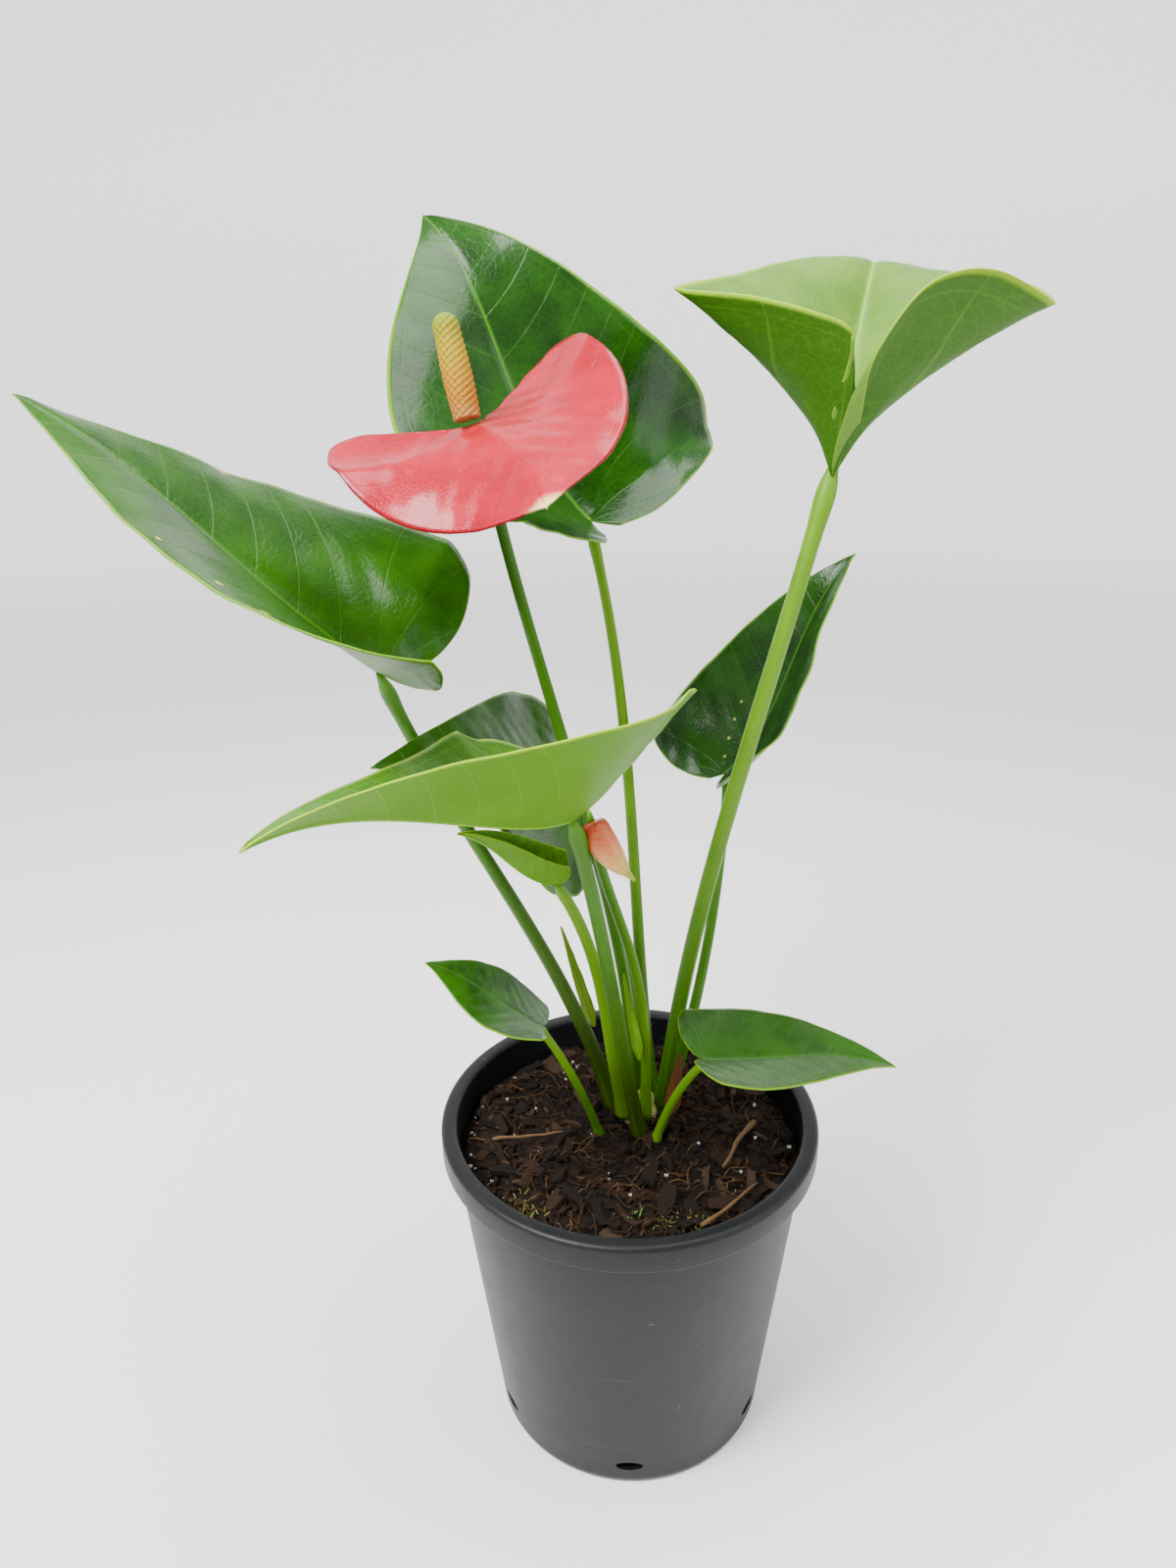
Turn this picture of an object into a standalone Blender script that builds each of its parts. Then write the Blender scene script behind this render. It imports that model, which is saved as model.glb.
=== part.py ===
# Potted anthurium: a nursery pot, its bark mix, and a young plant with one open flower.
# Every subcomponent is one closed solid in its own object. Lengths below are millimetres
# and angles are degrees. The scene is in metres, +Z up, and the plant's front faces -Y.
import math
import random

import bmesh
import bpy
from mathutils import Matrix, Vector, geometry

MM = 0.001

# Pot
RIM_RADIUS = 70.0
POT_HEIGHT = 128.0
BASE_RADIUS = 52.0
NECK_RADIUS = 65.5
LIP_HEIGHT = 10.0
WALL = 1.5
FLOOR = 2.0
SLOT_COUNT = 6
SLOT_WIDTH = 10.0
SLOT_TALL = 4.5
SLOT_HEIGHT = 9.5

# Mix and crown
MIX_TOP = 118.0
MIX_EDGE_DROP = 3.0
GAP = 0.35
CROWN = (5.0, 14.0)
CROWN_RADIUS = 8.0
CROWN_TOP = 121.0
CROWN_DEPTH = 14.0

# Leaves
BLADE_THICK = 0.9
STALK_GAP = 2.6
ROWS = 20
COLUMNS = 5

# Half outlines of a flat blade. The first number runs along the midrib, in blade lengths
# towards the tip and in lobe lengths behind the stalk. The second is in half widths.
HEART = [(-0.45, 0.08), (-0.85, 0.28), (-1.0, 0.52), (-0.82, 0.82), (-0.3, 0.98),
         (0.1, 1.0), (0.32, 0.88), (0.55, 0.62), (0.76, 0.33), (0.91, 0.12), (1.0, 0.0)]
OVATE = [(-0.6, 0.2), (-0.9, 0.45), (-0.8, 0.72), (-0.25, 0.93), (0.14, 1.0),
         (0.36, 0.92), (0.58, 0.68), (0.78, 0.36), (0.92, 0.12), (1.0, 0.0)]
KIDNEY = [(-0.4, 0.16), (-0.8, 0.4), (-1.0, 0.64), (-0.86, 0.88), (-0.4, 1.0),
          (0.1, 0.98), (0.42, 0.8), (0.68, 0.52), (0.87, 0.22), (1.0, 0.0)]

# Each blade: where the stalk meets it, where its tip is, how far it is rolled about that
# line, and its shape in fractions of its length. fold, curl and lift are (left, right) for
# someone looking from the stalk to the tip with the upper face up.
BLADES = {
    "leaf_back": dict(
        outline=HEART, joint=(-14, 74, 335), tip=(-76, 112, 442), roll=-9, arch=0.04,
        hook=0.1, sway=-0.05, width=0.58, skew=0.01, lobe=0.17, reach=0.22,
        fold=(22, 32), curl=(8, -33), tip_fold=(-25, 38), tip_curl=(-30, 30), lift=(45, 35)),
    "leaf_left": dict(
        outline=HEART, joint=(-77, -9, 299), tip=(-171, -22, 384), roll=-9, arch=0.02,
        hook=0.04, sway=-0.02, width=0.48, skew=0.03, lobe=0.13, reach=0.18,
        fold=(29, 44), curl=(8, -25), tip_fold=(-12, -2), tip_curl=(-13, -24), lift=(23, 5)),
    "leaf_rear_right": dict(
        outline=HEART, joint=(37, 52, 243), tip=(82, 62, 324), roll=20, arch=-0.02,
        hook=0.1, sway=-0.01, width=0.46, skew=0.07, lobe=0.14, reach=0.2,
        fold=(13, 31), curl=(-2, 24), tip_fold=(18, 29), tip_curl=(29, -12), lift=(30, 30)),
    "leaf_front": dict(
        outline=HEART, joint=(-16, -38, 262), tip=(-90, -112, 285), roll=46, arch=0.01,
        hook=0.08, sway=-0.04, width=0.48, skew=-0.06, lobe=0.28, reach=0.2,
        fold=(7, 60), curl=(1, 19), tip_fold=(-5, 40), tip_curl=(-24, 23), lift=(23, 25)),
    "leaf_middle": dict(
        outline=HEART, joint=(-23, 32, 242), tip=(-83, -12, 269), roll=-37, arch=0.12,
        hook=0.1, sway=-0.05, width=0.5, skew=0.07, lobe=0.2, reach=0.2,
        fold=(-20, -3), curl=(-19, 20), tip_fold=(30, 13), tip_curl=(-20, -5), lift=(-20, -25)),
    "leaf_unrolling": dict(
        outline=OVATE, joint=(-22, -24, 233), tip=(-52, -35, 256), roll=-9, arch=-0.02,
        hook=0.1, sway=0.0, width=0.29, skew=0.08, lobe=0.05, reach=0.2,
        fold=(70, 75), curl=(-6, 10), tip_fold=(62, 64), tip_curl=(0, 9), lift=(0, 0)),
    "leaf_small_left": dict(
        outline=OVATE, joint=(-30, -17, 175), tip=(-70, -13, 198), roll=-1, arch=0.04,
        hook=0.05, sway=0.0, width=0.42, skew=-0.03, lobe=0.04, reach=0.2,
        fold=(15, -10), curl=(21, -4), tip_fold=(-20, 11), tip_curl=(-30, 21), lift=(5, -5)),
    "leaf_small_right": dict(
        outline=HEART, joint=(26, -15, 161), tip=(94, -13, 157), roll=3, arch=0.03,
        hook=0.05, sway=-0.02, width=0.42, skew=0.03, lobe=0.1, reach=0.15,
        fold=(9, 26), curl=(-15, -5), tip_fold=(4, 3), tip_curl=(24, -11), lift=(10, 26)),
    "spathe": dict(
        outline=KIDNEY, joint=(-45, -2, 373), tip=(-21, -54, 355), roll=24, arch=0.04,
        hook=-0.01, sway=-0.04, width=0.76, skew=-0.03, lobe=0.39, reach=0.25,
        fold=(-22, -8), curl=(60, 36), tip_fold=(-9, -38), tip_curl=(-35, -16), lift=(3, 21)),
}

# The youngest full leaf is still a funnel. Its midrib and its two margins run from the
# stalk to the tip through these points, and the blade is ruled between them.
FUNNEL_MIDRIB = [(63, 12, 355), (66, 20, 369), (74, 45, 394), (84, 76, 420), (89, 95, 415)]
FUNNEL_LEFT = [(60, 2, 374), (62, -10, 392), (58, -12, 399), (36, -2, 406), (14, 26, 410),
               (33, 46, 415), (52, 62, 420), (70, 76, 422), (89, 95, 415)]
FUNNEL_RIGHT = [(68, 0, 372), (69, -12, 391), (81, -17, 408), (101, -8, 411), (125, 14, 404),
                (123, 34, 410), (113, 52, 414), (100, 72, 417), (89, 95, 415)]
FUNNEL_CUP = 0.06

# Stalks: foot, the two curve handles, head (or the blade it carries), foot and head radius.
STALKS = {
    "petiole_back": ((9, 27, 119.5), (0, 40, 198), (4, 66, 261), "leaf_back", 2.4, 1.8),
    "petiole_left": ((-6, 17, 119.5), (-24, 28, 179), (-67, 26, 236), "leaf_left", 3.0, 2.1),
    "petiole_funnel": ((13, 14, 122.5), (23, 21, 209), (40, -10, 277), (62.3, 11.6, 351.5), 2.9, 2.7),
    "petiole_rear_right": ((15, 21, 119.5), (30, 28, 164), (36, 46, 205), "leaf_rear_right", 2.2, 1.7),
    "petiole_front": ((4, 1, 119.5), (-4, -12, 168), (-7, -26, 215), "leaf_front", 2.6, 2.3),
    "petiole_middle": ((8, 20.5, 122.5), (1, 30, 194), (-12, 54, 205), (-21, 38.5, 234.5), 2.2, 1.6),
    "petiole_unrolling": ((-2, 9, 122.5), (-9, 0, 161), (-7, -14, 202), "leaf_unrolling", 2.4, 1.9),
    "petiole_small_left": ((-11, 0, 119.5), (-17, -6, 140), (-22, -12, 157), "leaf_small_left", 1.6, 1.4),
    "petiole_small_right": ((10, -2, 119.5), (14, -4, 132), (20, -9, 149), "leaf_small_right", 1.6, 1.4),
    "flower_stalk": ((3, 16, 122.5), (0, 4, 221), (-28, -6, 284), "spathe", 2.2, 1.7),
    "bud_stalk": ((6, 7.5, 122.5), (9, 0, 201), (-8, -12, 212), (-12, -30, 261), 1.9, 1.6),
}

SPADIX_FOOT = (-47.3, -1.0, 376.0)
SPADIX_HEAD = (-54.0, 6.0, 403.5)
SPADIX_RADIUS = 4.4

BUD_FOOT = (-11.0, -32.0, 257.0)
BUD_TIP = (2.0, -37.0, 241.0)
BUD_RADIUS = 5.0

# Sheaths at the foot of the young stalks: foot, tip, half width, and how far they wrap.
SHEATHS = {
    "sheath_green": ((4.0, 0.4, 150.0), (-1.8, 0.4, 186.0), 2.0),
    "sheath_thin": ((-12.5, -5.0, 168.0), (-22.5, -16.5, 214.0), 2.2),
    "sheath_papery": ((16.0, 7.0, 121.0), (19.5, 7.0, 148.0), 3.2),
}

# Loose bark on the mix: x, y, length, width, thickness, turn.
CHIPS = [(-40, 12, 22, 10, 5, 20), (-31, -24, 19, 9, 5, 65), (-14, -42, 24, 8, 5, 10),
         (8, -47, 18, 10, 5, -25), (33, -25, 18, 8, 4, 50), (46, -5, 18, 10, 5, 95),
         (-34, 42, 16, 9, 5, -40), (30, 42, 20, 9, 5, 30), (14, -22, 17, 9, 4, 80),
         (-16, -18, 15, 8, 5, -15)]

# Twigs and coir fibres that lie on the mix: start, middle and end in plan, and radius.
TWIGS = [((50, 15), (42, 2), (30, -14), 0.9), ((-52, -8), (-40, -6), (-22, -4), 0.7),
         ((22, -52), (27, -44), (48, -30), 0.7)]

PLASTIC = dict(colour=(0.115, 0.12, 0.125), roughness=0.42)
BARK_MIX = dict(colour=(0.055, 0.035, 0.022), roughness=0.95)
BARK = dict(colour=(0.16, 0.095, 0.055), roughness=0.9)
TWIG = dict(colour=(0.42, 0.28, 0.17), roughness=0.85)
OLD_LEAF = dict(colour=(0.045, 0.17, 0.03), roughness=0.3)
YOUNG_LEAF = dict(colour=(0.2, 0.42, 0.07), roughness=0.35)
STEM = dict(colour=(0.1, 0.24, 0.025), roughness=0.4)
SALMON = dict(colour=(0.9, 0.2, 0.22), roughness=0.28)
YELLOW = dict(colour=(0.9, 0.62, 0.08), roughness=0.6)
SHEATH = dict(colour=(0.45, 0.55, 0.12), roughness=0.5)
PAPERY = dict(colour=(0.3, 0.14, 0.06), roughness=0.8)

for old in list(bpy.data.objects):
    bpy.data.objects.remove(old)

PLANT = bpy.data.collections.new("potted_anthurium")
bpy.context.scene.collection.children.link(PLANT)
CUTTERS = bpy.data.collections.new("cutters")
bpy.context.scene.collection.children.link(CUTTERS)


def material(name, look):
    made = bpy.data.materials.new(name + "_material")
    made.use_nodes = True
    shader = made.node_tree.nodes["Principled BSDF"]
    shader.inputs["Base Color"].default_value = (*look["colour"], 1.0)
    shader.inputs["Roughness"].default_value = look["roughness"]
    shader.inputs["Metallic"].default_value = 0.0
    return made


def add_object(name, data, look):
    item = bpy.data.objects.new(name, data)
    PLANT.objects.link(item)
    data.materials.append(material(name, look))
    return item


def spline_point(points, place):
    """The point at `place` (0 to 1) on a smooth curve through `points`."""
    spans = len(points) - 1
    index = min(int(place * spans), spans - 1)
    t = place * spans - index
    before = points[index - 1] if index else points[0] * 2 - points[1]
    after = points[index + 2] if index + 2 <= spans else points[-1] * 2 - points[-2]
    a, b = points[index], points[index + 1]
    return 0.5 * (2 * a + (b - before) * t + (2 * before - 5 * a + 4 * b - after) * t ** 2
                  + (3 * a - before - 3 * b + after) * t ** 3)


def turned(name, profile, look, steps=48):
    """A solid of revolution from a profile that ends on the axis at both ends."""
    mesh = bpy.data.meshes.new(name)
    points = [(radius * MM, 0.0, height * MM) for radius, height in profile]
    mesh.from_pydata(points, [(i, i + 1) for i in range(len(points) - 1)], [])
    item = add_object(name, mesh, look)
    screw = item.modifiers.new("turn", "SCREW")
    screw.steps = steps
    screw.render_steps = steps
    screw.use_merge_vertices = True
    screw.merge_threshold = 0.00001
    return item


def subtract(item, cutter):
    CUTTERS.objects.link(cutter)
    cutter.hide_render = True
    cutter.display_type = "WIRE"
    cut = item.modifiers.new("cut_" + cutter.name, "BOOLEAN")
    cut.operation = "DIFFERENCE"
    cut.solver = "EXACT"
    cut.object = cutter


def cylinder_cutter(name, radius, depth, matrix, segments=32):
    work = bmesh.new()
    bmesh.ops.create_cone(work, cap_ends=True, segments=segments, radius1=radius * MM,
                          radius2=radius * MM, depth=depth * MM)
    mesh = bpy.data.meshes.new(name)
    work.to_mesh(mesh)
    work.free()
    cutter = bpy.data.objects.new(name, mesh)
    cutter.matrix_world = matrix
    return cutter


def wall_radius(height):
    """Outer radius of the tapered wall below the lip."""
    return BASE_RADIUS + (NECK_RADIUS - BASE_RADIUS) * height / (POT_HEIGHT - LIP_HEIGHT)


def build_pot():
    skirt = POT_HEIGHT - LIP_HEIGHT
    inner_neck = NECK_RADIUS - WALL
    profile = [(0, FLOOR), (wall_radius(FLOOR) - WALL - 1, FLOOR),
               (wall_radius(FLOOR + 1) - WALL, FLOOR + 1), (inner_neck, skirt),
               (inner_neck, POT_HEIGHT - 1), (inner_neck + 0.8, POT_HEIGHT),
               (RIM_RADIUS - 1, POT_HEIGHT), (RIM_RADIUS, POT_HEIGHT - 1),
               (RIM_RADIUS, skirt + 0.6), (RIM_RADIUS - 0.6, skirt), (RIM_RADIUS - WALL, skirt),
               (RIM_RADIUS - WALL, POT_HEIGHT - WALL), (NECK_RADIUS, POT_HEIGHT - WALL),
               (NECK_RADIUS, skirt), (BASE_RADIUS, 1.2), (BASE_RADIUS - 1.2, 0), (0, 0)]
    pot = turned("pot", profile, PLASTIC, steps=72)
    for index in range(SLOT_COUNT):
        angle = math.radians(360 * index / SLOT_COUNT - 90)
        out = Vector((math.cos(angle), math.sin(angle), 0))
        place = out * wall_radius(SLOT_HEIGHT) * MM + Vector((0, 0, SLOT_HEIGHT * MM))
        stretch = Matrix.Diagonal((SLOT_WIDTH / SLOT_TALL, 1, 1, 1))
        spin = Matrix.Rotation(angle + math.pi / 2, 4, "Z") @ Matrix.Rotation(math.pi / 2, 4, "X")
        subtract(pot, cylinder_cutter(f"slot_{index + 1}", SLOT_TALL / 2, 8 * WALL,
                                      Matrix.Translation(place) @ spin @ stretch, 20))


def build_mix():
    inner = WALL + GAP
    edge = wall_radius(MIX_TOP - MIX_EDGE_DROP) - inner
    mix = turned("potting_mix", [(0, MIX_TOP), (edge - 8, MIX_TOP),
                                 (edge - 3, MIX_TOP - 1), (edge, MIX_TOP - MIX_EDGE_DROP),
                                 (wall_radius(FLOOR + 3) - inner, FLOOR + 3),
                                 (wall_radius(FLOOR) - inner - 3, FLOOR + GAP),
                                 (0, FLOOR + GAP)], BARK_MIX)
    foot = MIX_TOP - CROWN_DEPTH
    place = Matrix.Translation(Vector((*CROWN, MIX_TOP + CROWN_DEPTH / 2)) * MM)
    subtract(mix, cylinder_cutter("crown_socket", CROWN_RADIUS + GAP, 3 * CROWN_DEPTH,
                                  place, 40))
    crown = turned("rootstock", [(0, CROWN_TOP), (CROWN_RADIUS - 2, CROWN_TOP),
                                 (CROWN_RADIUS, CROWN_TOP - 2), (CROWN_RADIUS, MIX_TOP - 5),
                                 (CROWN_RADIUS - 3, foot + GAP), (0, foot + GAP)], STEM, steps=24)
    crown.location = Vector((*CROWN, 0)) * MM


def blade_frame(blade):
    """Joint, length, and unit vectors towards the tip, upwards and to the right."""
    joint = Vector(blade["joint"])
    chord = Vector(blade["tip"]) - joint
    ahead = chord.normalized()
    up = (Vector((0, 0, 1)) - ahead * ahead.z).normalized()
    side = ahead.cross(up)
    angle = math.radians(blade["roll"])
    normal = up * math.cos(angle) + side * math.sin(angle)
    return joint, chord.length, ahead, normal, ahead.cross(normal)


def blade_point(blade, across, row):
    """A point of a blade. across runs -1 to 1 over it, row runs 0 to 1 from lobe to tip."""
    joint, length, ahead, normal, right = blade_frame(blade)
    hand = 1 if across > 0 else 0
    turn = 1 if hand else -1
    outline = [Vector(point) for point in blade["outline"]]
    edge = spline_point(outline, row)
    half_width = blade["width"] * length
    edge_x = edge.x * length * (blade["lobe"] if edge.x < 0 else 1)
    edge_y = edge.y * half_width * (1 + turn * blade["skew"])
    start = max(edge_x, 0) * (0.8 + 0.2 * max(edge.x, 0) ** 3)
    x = start + (edge_x - start) * abs(across)
    y = edge_y * abs(across)

    # The midrib: an arch with a hooked end, which may sway sideways.
    u = min(max(x / length, 0), 1)
    arch = 4 * blade["arch"] + 8 * blade["hook"] * (u - 0.5)
    rise = length * u * (1 - u) * arch
    drift = length * 4 * blade["sway"] * u * (1 - u)
    slope = (1 - 2 * u) * arch + 8 * blade["hook"] * u * (1 - u)
    veer = 4 * blade["sway"] * (1 - 2 * u)
    spot = joint + ahead * u * length + normal * rise + right * drift
    forward = (ahead + normal * slope + right * veer).normalized()
    sideways = (right - forward * right.dot(forward)).normalized()
    upward = sideways.cross(forward)

    # The lobes behind the joint bend up about a line across it.
    bend = math.radians(blade["lift"][hand]) or 0.001
    bent = min(max(-x, 0), blade["reach"] * length)
    turned_by = bend * bent / (blade["reach"] * length)
    radius = blade["reach"] * length / bend
    straight = max(-x, 0) - bent
    back = radius * math.sin(turned_by) + straight * math.cos(turned_by)
    raised = radius * (1 - math.cos(turned_by)) + straight * math.sin(turned_by)
    spot += upward * raised - forward * back
    tilted = upward * math.cos(turned_by) + forward * math.sin(turned_by)

    # Each half folds up from the midrib, and curls on towards its margin.
    fold = math.radians(blade["fold"][hand] * (1 - u) + blade["tip_fold"][hand] * u)
    curl = math.radians(blade["curl"][hand] * (1 - u) + blade["tip_curl"][hand] * u) or 0.001
    end = fold + curl * y / half_width
    out = half_width / curl * (math.sin(end) - math.sin(fold))
    lift = half_width / curl * (math.cos(fold) - math.cos(end))
    return spot + sideways * turn * out + tilted * lift


def funnel_point(across, row):
    """A point of the funnel leaf, ruled from its midrib to one of its margins."""
    margin = FUNNEL_RIGHT if across > 0 else FUNNEL_LEFT
    edge = spline_point([Vector(point) for point in margin], row)
    start = spline_point([Vector(point) for point in FUNNEL_MIDRIB], max(0, row - 0.4) / 0.6)
    ray = edge - start
    away = ray.cross(Vector(FUNNEL_MIDRIB[-2]) - Vector(FUNNEL_MIDRIB[0])).normalized()
    if across > 0:
        away = -away
    cup = FUNNEL_CUP * ray.length * 4 * abs(across) * (1 - abs(across))
    return start + ray * abs(across) - away * cup


def sheet_solid(name, point, look, rows=ROWS, columns=COLUMNS, thick=BLADE_THICK):
    """A grid shaped by point(across, row), then thickened to a closed solid."""
    work = bmesh.new()
    bmesh.ops.create_grid(work, x_segments=2 * columns, y_segments=rows, size=1.0)
    for vertex in work.verts:
        vertex.co = point(vertex.co.x, (vertex.co.y + 1) / 2) * MM
    bmesh.ops.remove_doubles(work, verts=work.verts, dist=0.00002)
    mesh = bpy.data.meshes.new(name)
    work.to_mesh(mesh)
    work.free()
    item = add_object(name, mesh, look)
    shell = item.modifiers.new("thickness", "SOLIDIFY")
    shell.thickness = thick * MM
    shell.offset = 0.0
    return item


def build_blades():
    for name, blade in BLADES.items():
        look = SALMON if name == "spathe" else OLD_LEAF
        if name in ("leaf_front", "leaf_unrolling"):
            look = YOUNG_LEAF
        sheet_solid(name, lambda across, row, b=blade: blade_point(b, across, row), look)
    sheet_solid("leaf_funnel", funnel_point, YOUNG_LEAF)


def stalk(name, points, radii, look):
    """A tapered tube on one Bezier span from foot to head."""
    curve = bpy.data.curves.new(name, "CURVE")
    curve.dimensions = "3D"
    curve.bevel_depth = MM
    curve.bevel_resolution = 2
    curve.use_fill_caps = True
    spline = curve.splines.new("POLY")
    steps = 14
    samples = geometry.interpolate_bezier(*points, steps + 1)
    spline.points.add(steps)
    for index, sample in enumerate(samples):
        spline.points[index].co = (*(sample * MM), 1)
        spline.points[index].radius = radii[0] + (radii[1] - radii[0]) * index / steps
    return add_object(name, curve, look)


def build_stalks():
    for name, (foot, low, high, head, foot_radius, head_radius) in STALKS.items():
        if head in BLADES:
            joint = Vector(BLADES[head]["joint"])
            head = joint - (joint - Vector(high)).normalized() * STALK_GAP
        points = [Vector(foot), Vector(low), Vector(high), Vector(head)]
        stalk(name, points, (foot_radius, head_radius), STEM)


def align(item, foot, tip):
    """Stand an upright solid on foot, leaning so that it points at tip."""
    lean = (Vector(tip) - Vector(foot)).to_track_quat("Z", "Y")
    item.matrix_world = Matrix.Translation(Vector(foot) * MM) @ lean.to_matrix().to_4x4()


def build_spadix_and_bud():
    length = (Vector(SPADIX_HEAD) - Vector(SPADIX_FOOT)).length
    dome = [(SPADIX_RADIUS * math.sin(a), length - SPADIX_RADIUS * (1 - math.cos(a)))
            for a in (math.radians(step) for step in (0, 22, 45, 67, 90))]
    spadix = turned("spadix", dome + [(SPADIX_RADIUS * 0.86, 0), (0, 0)], YELLOW, steps=20)
    align(spadix, SPADIX_FOOT, SPADIX_HEAD)
    length = (Vector(BUD_TIP) - Vector(BUD_FOOT)).length
    shape = [(0, 1), (0.25, 0.9), (0.75, 0.7), (1, 0.45), (0.8, 0.18), (0.35, 0), (0, 0)]
    bud = turned("bud_spathe", [(r * BUD_RADIUS, h * length) for r, h in shape], SALMON, steps=16)
    align(bud, BUD_FOOT, BUD_TIP)


def build_sheaths():
    for name, (foot, tip, half_width) in SHEATHS.items():
        foot, tip = Vector(foot), Vector(tip)
        side = (tip - foot).cross(Vector((0, 1, 0))).normalized()

        def point(across, row):
            width = half_width * (1 - row ** 2 * 0.92)
            bulge = Vector((0, -1, 0)) * half_width * 0.5 * (1 - across ** 2) * (1 - row)
            return foot.lerp(tip, row) + side * width * across + bulge

        sheet_solid(name, point, PAPERY if name == "sheath_papery" else SHEATH, 8, 3, 0.6)


def build_litter():
    dice = random.Random(7)
    for index, (x, y, length, width, thick, turn) in enumerate(CHIPS):
        work = bmesh.new()
        bmesh.ops.create_icosphere(work, subdivisions=2, radius=0.5)
        for vertex in work.verts:
            vertex.co *= 0.94 + 0.12 * dice.random()
            vertex.co.x = max(-0.42, min(0.42, vertex.co.x * 1.1))
            vertex.co = Vector((vertex.co.x * length, vertex.co.y * width, vertex.co.z * thick))
        low = min(vertex.co.z for vertex in work.verts)
        bmesh.ops.translate(work, verts=work.verts, vec=(0, 0, -low))
        bmesh.ops.scale(work, verts=work.verts, vec=(MM, MM, MM))
        mesh = bpy.data.meshes.new(f"bark_chip_{index + 1}")
        work.to_mesh(mesh)
        work.free()
        chip = add_object(mesh.name, mesh, BARK)
        chip.location = Vector((x, y, MIX_TOP + GAP)) * MM
        chip.rotation_euler.z = math.radians(turn)
    for index, (start, middle, end, radius) in enumerate(TWIGS):
        height = MIX_TOP + GAP + radius
        start, middle, end = (Vector((*spot, height)) for spot in (start, middle, end))
        points = [start, start.lerp(middle, 0.67), end.lerp(middle, 0.67), end]
        stalk(f"twig_{index + 1}", points, (radius, radius * 0.7), TWIG)


build_pot()
build_mix()
build_blades()
build_stalks()
build_spadix_and_bud()
build_sheaths()
build_litter()
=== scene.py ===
# The looks of a potted anthurium: smooth pot, bark mix, veined leaves, stalks and flower.
# Lengths in the settings are millimetres and angles are degrees, as in the part's own script.
import math
import random

import bmesh
import bpy
from mathutils import Matrix, Vector, geometry, noise


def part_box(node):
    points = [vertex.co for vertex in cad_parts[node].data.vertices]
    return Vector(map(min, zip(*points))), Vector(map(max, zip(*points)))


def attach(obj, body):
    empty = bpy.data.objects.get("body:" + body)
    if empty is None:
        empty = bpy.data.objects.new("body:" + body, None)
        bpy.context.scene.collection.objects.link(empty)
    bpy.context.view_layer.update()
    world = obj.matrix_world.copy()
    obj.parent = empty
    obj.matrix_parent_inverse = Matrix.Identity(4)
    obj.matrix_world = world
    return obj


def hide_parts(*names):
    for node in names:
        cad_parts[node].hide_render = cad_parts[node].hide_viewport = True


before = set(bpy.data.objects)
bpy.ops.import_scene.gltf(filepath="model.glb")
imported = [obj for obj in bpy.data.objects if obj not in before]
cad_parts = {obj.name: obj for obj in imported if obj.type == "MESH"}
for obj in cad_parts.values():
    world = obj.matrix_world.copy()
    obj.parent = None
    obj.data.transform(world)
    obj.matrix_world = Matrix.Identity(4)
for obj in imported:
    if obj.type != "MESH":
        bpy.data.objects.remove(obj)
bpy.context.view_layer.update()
mm = 0.001

view = dict(lens=25, spot=(0, -338.5, 388), pitch=20.9, yaw=2.27, roll=-0.9)

studio = dict(
    floor=(0.88, 0.88, 0.875), wallAt=3000, sweep=900, ambient=0.9, shine=0.8,
    # name, place, aimed at, size across and up, watts, colour
    lights=[("key", (-520, -420, 1100), (0, 20, 200), (520, 620), 32, (1, 0.99, 0.97)),
            ("fill", (900, -300, 700), (0, 20, 150), (700, 900), 6, (0.97, 0.98, 1)),
            ("top", (150, 100, 1150), (0, 0, 200), (600, 500), 9, (1, 1, 1))])

potShape = dict(baseRadius=52, neckRadius=65.5, lip=10, wall=1.5, floor=2, slotWide=10, slotTall=4.5,
                slotAt=9.5, slots=6, segments=192, dimple=1.6)
potLook = dict(colour=(0.0055, 0.0058, 0.007), pale=(0.012, 0.0125, 0.014), roughness=0.42, scuffs=0.35)

mixLook = dict(dark=(0.002, 0.0012, 0.0008), light=(0.013, 0.0065, 0.003), edgeDrop=3, clearance=0.35,
               crumbs=1100, chips=260, fibres=420, seed=11)
barkTones = [(0.004, 0.002, 0.001), (0.011, 0.0055, 0.002), (0.024, 0.011, 0.005), (0.05, 0.028, 0.015),
             (0.007, 0.0035, 0.002)]
fibreTones = [(0.018, 0.007, 0.003), (0.045, 0.019, 0.007), (0.11, 0.055, 0.022), (0.028, 0.013, 0.005)]

# Twigs: start, end, radius. Moss: place, blades and their length; one tuft is a fresh sprout.
twigs = [((47, 4), (33, -22), 1.15), ((-50, -8), (-24, -4), 0.7), ((24, -50), (46, -30), 0.8)]
mossTufts = [(-34, -43, 26, 3.2), (22, -47, 26, 3.0), (38, -30, 10, 2.6), (-38, -36, 14, 2.4),
             (1, -44, 10, 3.4), (12, -46, 14, 2.2)]
mossTones = [(0.13, 0.12, 0.02), (0.19, 0.2, 0.03), (0.25, 0.22, 0.06), (0.1, 0.16, 0.02)]
sproutAt, sproutTone = (1, -44), (0.1, 0.33, 0.03)

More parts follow.
